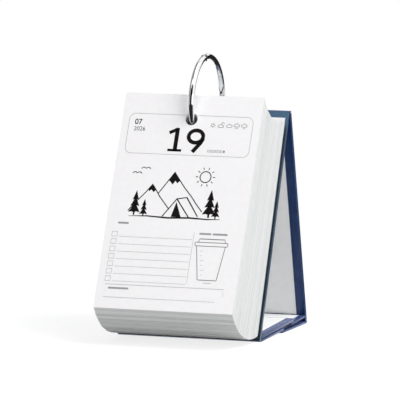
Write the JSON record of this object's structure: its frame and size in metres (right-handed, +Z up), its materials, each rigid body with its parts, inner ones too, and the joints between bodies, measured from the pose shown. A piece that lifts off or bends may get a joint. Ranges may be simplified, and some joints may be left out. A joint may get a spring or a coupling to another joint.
{
  "type": "tear off day calendar",
  "caption": "Desk day calendar: a thick block of loose leaves hung on a gate ring, leaning on a folding stand of paper-wrapped boards.",
  "frame": {"origin": "on the table, in the middle of the stand's footprint", "axes": "+Z up; -Y towards the viewer of the leaf on show; +X to that viewer's right"},
  "size_m": [0.095, 0.1362, 0.1763],
  "materials": {
    "greyboard": "matt",
    "cover_paper": "fine linen grain",
    "lining_paper": "matt",
    "leaf_paper": "matt, printed",
    "ring_metal": "polished"
  },
  "bodies": {
    "stand_front": {"front_board": "greyboard", "front_wrap": "cover_paper", "front_lining": "lining_paper", "ridge_spine": "cover_paper", "leaf_pack_01": "leaf_paper", "leaf_pack_02": "leaf_paper", "leaf_pack_03": "leaf_paper", "leaf_pack_04": "leaf_paper", "leaf_pack_05": "leaf_paper", "leaf_pack_06": "leaf_paper", "leaf_pack_07": "leaf_paper", "leaf_pack_08": "leaf_paper", "leaf_pack_09": "leaf_paper", "leaf_pack_10": "leaf_paper", "leaf_pack_11": "leaf_paper", "leaf_pack_12": "leaf_paper", "leaf_pack_13": "leaf_paper", "leaf_pack_14": "leaf_paper", "leaf_pack_15": "leaf_paper", "leaf_pack_16": "leaf_paper", "leaf_pack_17": "leaf_paper", "leaf_pack_18": "leaf_paper", "leaf_pack_19": "leaf_paper", "leaf_pack_20": "leaf_paper", "leaf_pack_21": "leaf_paper", "leaf_pack_22": "leaf_paper", "leaf_pack_23": "leaf_paper", "leaf_pack_24": "leaf_paper", "ring_body": "ring_metal", "ring_hinge_pin": "ring_metal"},
    "rear_panel": {"rear_board": "greyboard", "rear_wrap": "cover_paper", "rear_lining": "lining_paper"},
    "floor_flap": {"floor_board": "greyboard", "floor_wrap": "cover_paper", "floor_lining": "lining_paper", "front_base_board": "greyboard", "front_base_wrap": "cover_paper", "front_base_lining": "lining_paper"},
    "rear_tab": {"tab_board": "greyboard", "tab_wrap": "cover_paper", "tab_lining": "lining_paper"},
    "rear_base_flap": {"rear_base_board": "greyboard", "rear_base_wrap": "cover_paper", "rear_base_lining": "lining_paper"},
    "gate": {"ring_gate": "ring_metal"},
    "day_leaf": {"today_leaf": "leaf_paper"}
  },
  "joints": [
    {"name": "stand_fold", "type": "hinge", "parent": "stand_front", "child": "rear_panel", "pos_m": [0, 0.01157, 0.13826], "axis": [-1, 0, 0], "range_deg": [0, 26]},
    {"name": "floor_flap_fold", "type": "hinge", "parent": "stand_front", "child": "floor_flap", "pos_m": [0, -0.04111, 0.0039], "axis": [1, 0, 0], "range_deg": [0, 63.8]},
    {"name": "rear_tab_fold", "type": "hinge", "parent": "rear_panel", "child": "rear_tab", "pos_m": [0, 0.04127, 0.0056], "axis": [-1, 0, 0], "range_deg": [0, 67.7]},
    {"name": "rear_base_fold", "type": "hinge", "parent": "rear_panel", "child": "rear_base_flap", "pos_m": [0, 0.04253, 0], "axis": [1, 0, 0], "range_deg": [0, 101.5]},
    {"name": "gate_open", "type": "hinge", "parent": "stand_front", "child": "gate", "pos_m": [0, -0.01624, 0.17393], "axis": [-1, 0, 0], "range_deg": [0, 35], "stiffness_Nm_per_rad": 0.02, "springref_deg": -17.19},
    {"name": "leaf_turn", "type": "hinge", "parent": "stand_front", "child": "day_leaf", "pos_m": [0, -0.01136, 0.14626], "axis": [-1, 0, 0], "range_deg": [0, 175]}
  ],
  "couplings": [
    {"joint": "floor_flap_fold", "follows": "stand_fold", "ratio": 2.45},
    {"joint": "rear_tab_fold", "follows": "stand_fold", "ratio": 2.6},
    {"joint": "rear_base_fold", "follows": "stand_fold", "ratio": 3.9}
  ]
}
